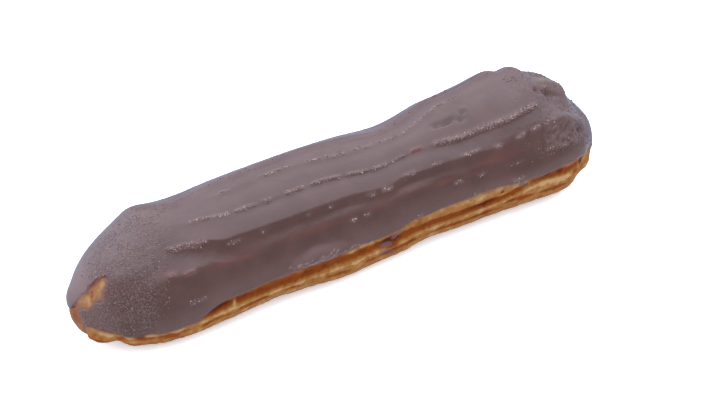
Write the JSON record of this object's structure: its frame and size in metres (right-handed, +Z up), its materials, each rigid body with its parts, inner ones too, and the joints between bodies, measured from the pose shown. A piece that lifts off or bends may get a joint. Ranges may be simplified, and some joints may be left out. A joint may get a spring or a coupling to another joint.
{
  "type": "chocolate eclair",
  "caption": "Chocolate eclair: a long piped choux bun, ridged along its length, under a thin coat of chocolate icing with a wavy lower edge.",
  "frame": {"origin": "middle of the eclair's footprint, at the height of its flat base", "axes": "+X along the eclair towards its higher, rougher end; +Z up; the shown side faces -Y"},
  "size_m": [0.1464, 0.0342, 0.0313],
  "materials": {
    "icing": "satin",
    "pastry": "matte"
  },
  "bodies": {
    "root": {"pastry": "pastry", "icing": "icing"}
  },
  "joints": []
}
